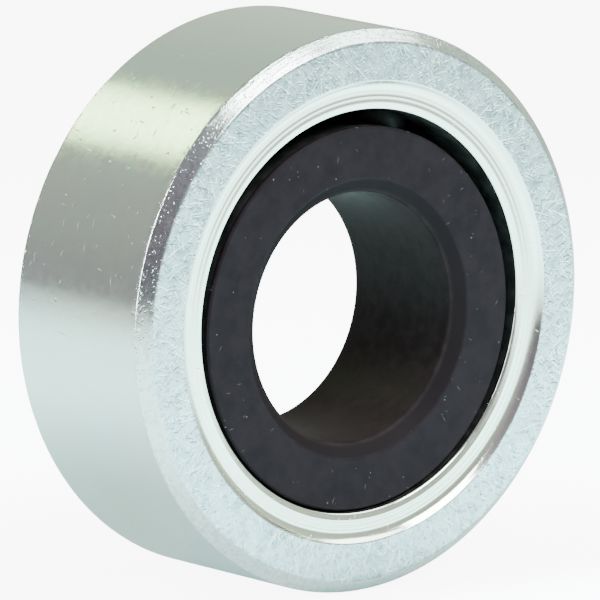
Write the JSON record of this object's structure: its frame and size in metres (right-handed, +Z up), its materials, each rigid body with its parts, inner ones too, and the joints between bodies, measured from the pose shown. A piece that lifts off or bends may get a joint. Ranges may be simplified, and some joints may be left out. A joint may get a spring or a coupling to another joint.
{
  "type": "cam follower",
  "caption": "Ball-bearing cam follower: a thick plated roller ring turning on a black inner ring with a plain bore for a stud.",
  "frame": {"origin": "on the bore's axis, halfway along the inner ring, which is also the plane of the balls", "axes": "+Y along the bore's axis, from the front of the follower to its back; +Z up, the way the roller ring stands above the bore's axis by half the radial play"},
  "size_m": [0.045, 0.0167, 0.045],
  "materials": {
    "zinc_plated_steel": "bright zinc plate, fine turning marks and handling scratches",
    "black_oxide_steel": "black oxide, satin, small bright nicks",
    "bearing_steel": "polished, filmed with grease"
  },
  "bodies": {
    "hub": {"inner_ring": "black_oxide_steel"},
    "roller": {"outer_ring": "zinc_plated_steel"},
    "ball_set": {"ball_01": "bearing_steel", "ball_02": "bearing_steel", "ball_03": "bearing_steel", "ball_04": "bearing_steel", "ball_05": "bearing_steel", "ball_06": "bearing_steel", "ball_07": "bearing_steel", "ball_08": "bearing_steel", "ball_09": "bearing_steel", "ball_10": "bearing_steel", "ball_11": "bearing_steel", "ball_12": "bearing_steel", "ball_13": "bearing_steel", "ball_14": "bearing_steel", "ball_15": "bearing_steel"}
  },
  "joints": [
    {"name": "roller_spin", "type": "hinge", "parent": "hub", "child": "roller", "pos_m": [0, 0, 0.00062], "axis": [0, 1, 0], "continuous": true},
    {"name": "ball_travel", "type": "hinge", "parent": "hub", "child": "ball_set", "pos_m": [0, 0, 0.00062], "axis": [0, 1, 0], "continuous": true}
  ],
  "couplings": [
    {"joint": "ball_travel", "follows": "roller_spin", "ratio": 0.60144}
  ]
}
